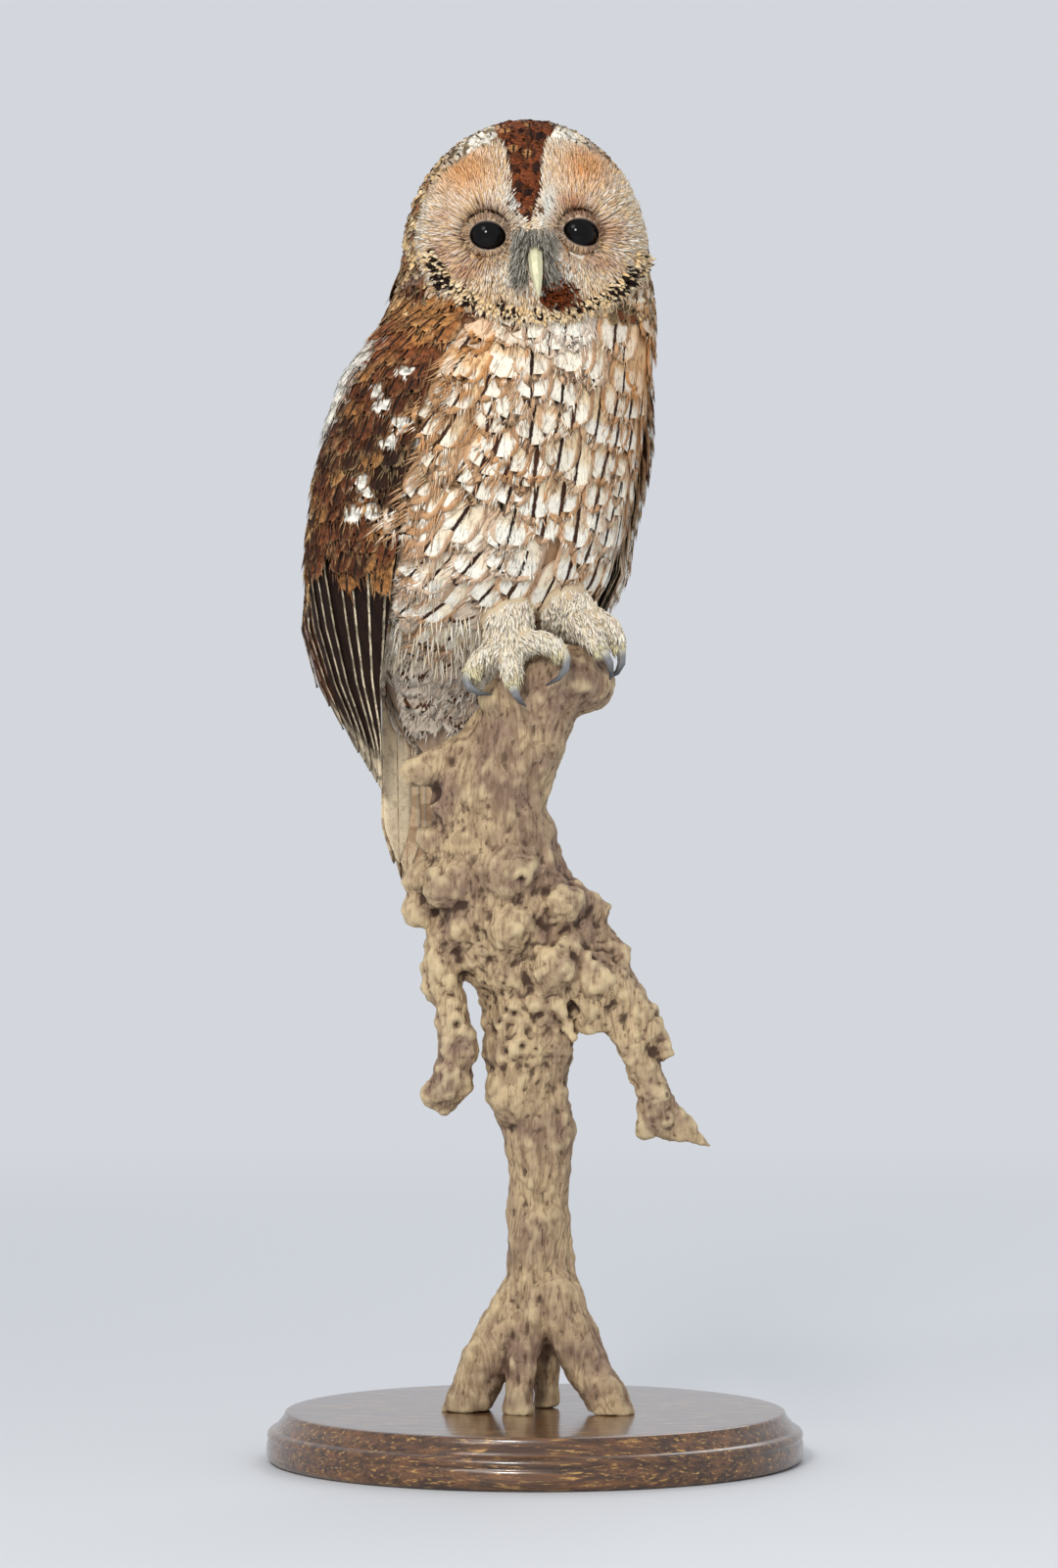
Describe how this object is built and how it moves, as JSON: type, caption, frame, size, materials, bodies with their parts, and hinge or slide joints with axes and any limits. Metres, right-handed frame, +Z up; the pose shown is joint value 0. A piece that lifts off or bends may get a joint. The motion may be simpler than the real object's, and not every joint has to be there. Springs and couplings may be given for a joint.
{
  "type": "taxidermy tawny owl",
  "caption": "Mounted tawny owl, wings folded, standing on a gnarled driftwood root on a round moulded oak base.",
  "frame": {"origin": "centre of the underside of the round base", "axes": "+Z up; the owl's face looks towards -Y and its left side is towards +X"},
  "size_m": [0.263, 0.263, 0.6559],
  "materials": {
    "face_plumage": "soft buff and orange disc feathers",
    "body_plumage": "soft cream and rust feathers with dark shaft streaks",
    "covert_feathers": "mottled rufous and dark brown coverts with white spots",
    "flight_feathers": "barred dark brown and buff quill feathers",
    "tail_feathers": "barred brown and buff quill feathers",
    "foot_feathers": "short cream feathering",
    "eye_glass": "polished near-black glass eye",
    "claw_horn": "smooth grey-black horn",
    "bill_horn": "smooth ivory-yellow horn",
    "driftwood": "dry weathered root, unvarnished",
    "oak": "turned oak, stained and varnished"
  },
  "bodies": {
    "root": {"head": "face_plumage", "neck": "body_plumage", "trunk": "body_plumage", "wing_right_coverts": "covert_feathers", "wing_left_coverts": "covert_feathers", "wing_right_flight": "flight_feathers", "wing_left_flight": "flight_feathers", "tail": "tail_feathers", "leg_right": "foot_feathers", "eye_right": "eye_glass", "toe_right_1": "foot_feathers", "claw_right_1": "claw_horn", "toe_right_2": "foot_feathers", "claw_right_2": "claw_horn", "toe_right_3": "foot_feathers", "claw_right_3": "claw_horn", "toe_right_4": "foot_feathers", "claw_right_4": "claw_horn", "leg_left": "foot_feathers", "eye_left": "eye_glass", "toe_left_1": "foot_feathers", "claw_left_1": "claw_horn", "toe_left_2": "foot_feathers", "claw_left_2": "claw_horn", "toe_left_3": "foot_feathers", "claw_left_3": "claw_horn", "toe_left_4": "foot_feathers", "claw_left_4": "claw_horn", "bill": "bill_horn", "driftwood": "driftwood", "base": "oak"}
  },
  "joints": []
}
